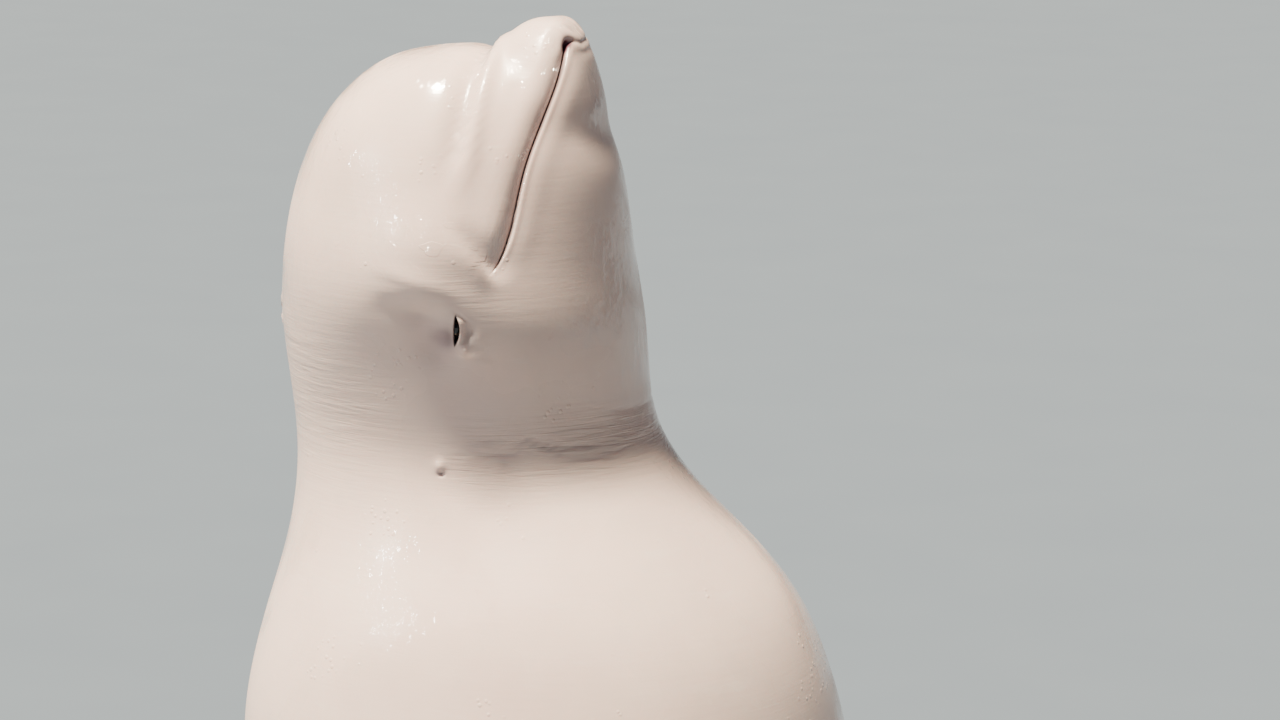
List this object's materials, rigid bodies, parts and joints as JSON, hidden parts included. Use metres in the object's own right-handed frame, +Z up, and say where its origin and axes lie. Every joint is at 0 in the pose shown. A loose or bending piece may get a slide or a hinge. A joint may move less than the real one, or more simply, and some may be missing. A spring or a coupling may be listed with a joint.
{
  "type": "beluga whale model",
  "caption": "Life-size white whale held upright with its snout raised, its tail trailing back, on a flat base with steel rods.",
  "frame": {"origin": "centre of the base's footprint, on the floor", "axes": "+Z up towards the snout, +X the way the belly faces, -Y the whale's right side, Y = 0 its mid-plane"},
  "size_m": [1.9, 1.4, 3.9699],
  "materials": {
    "skin": "wet, smooth, warm white skin with a soft gloss",
    "eye": "wet, very dark",
    "stand_base": "satin dark grey paint",
    "stand_steel": "brushed",
    "stand_pad": "matte"
  },
  "bodies": {
    "root": {"head": "skin", "lower_jaw": "skin", "eye_right": "eye", "eye_left": "eye", "neck": "skin", "chest": "skin", "belly": "skin", "tail_stock": "skin", "dorsal_ridge": "skin", "flipper_right": "skin", "flipper_left": "skin", "fluke_right": "skin", "fluke_left": "skin", "stand_base": "stand_base", "stand_rod_front": "stand_steel", "stand_flange_front": "stand_steel", "stand_pad_front": "stand_pad", "stand_rod_rear": "stand_steel", "stand_flange_rear": "stand_steel", "stand_pad_rear": "stand_pad"}
  },
  "joints": []
}
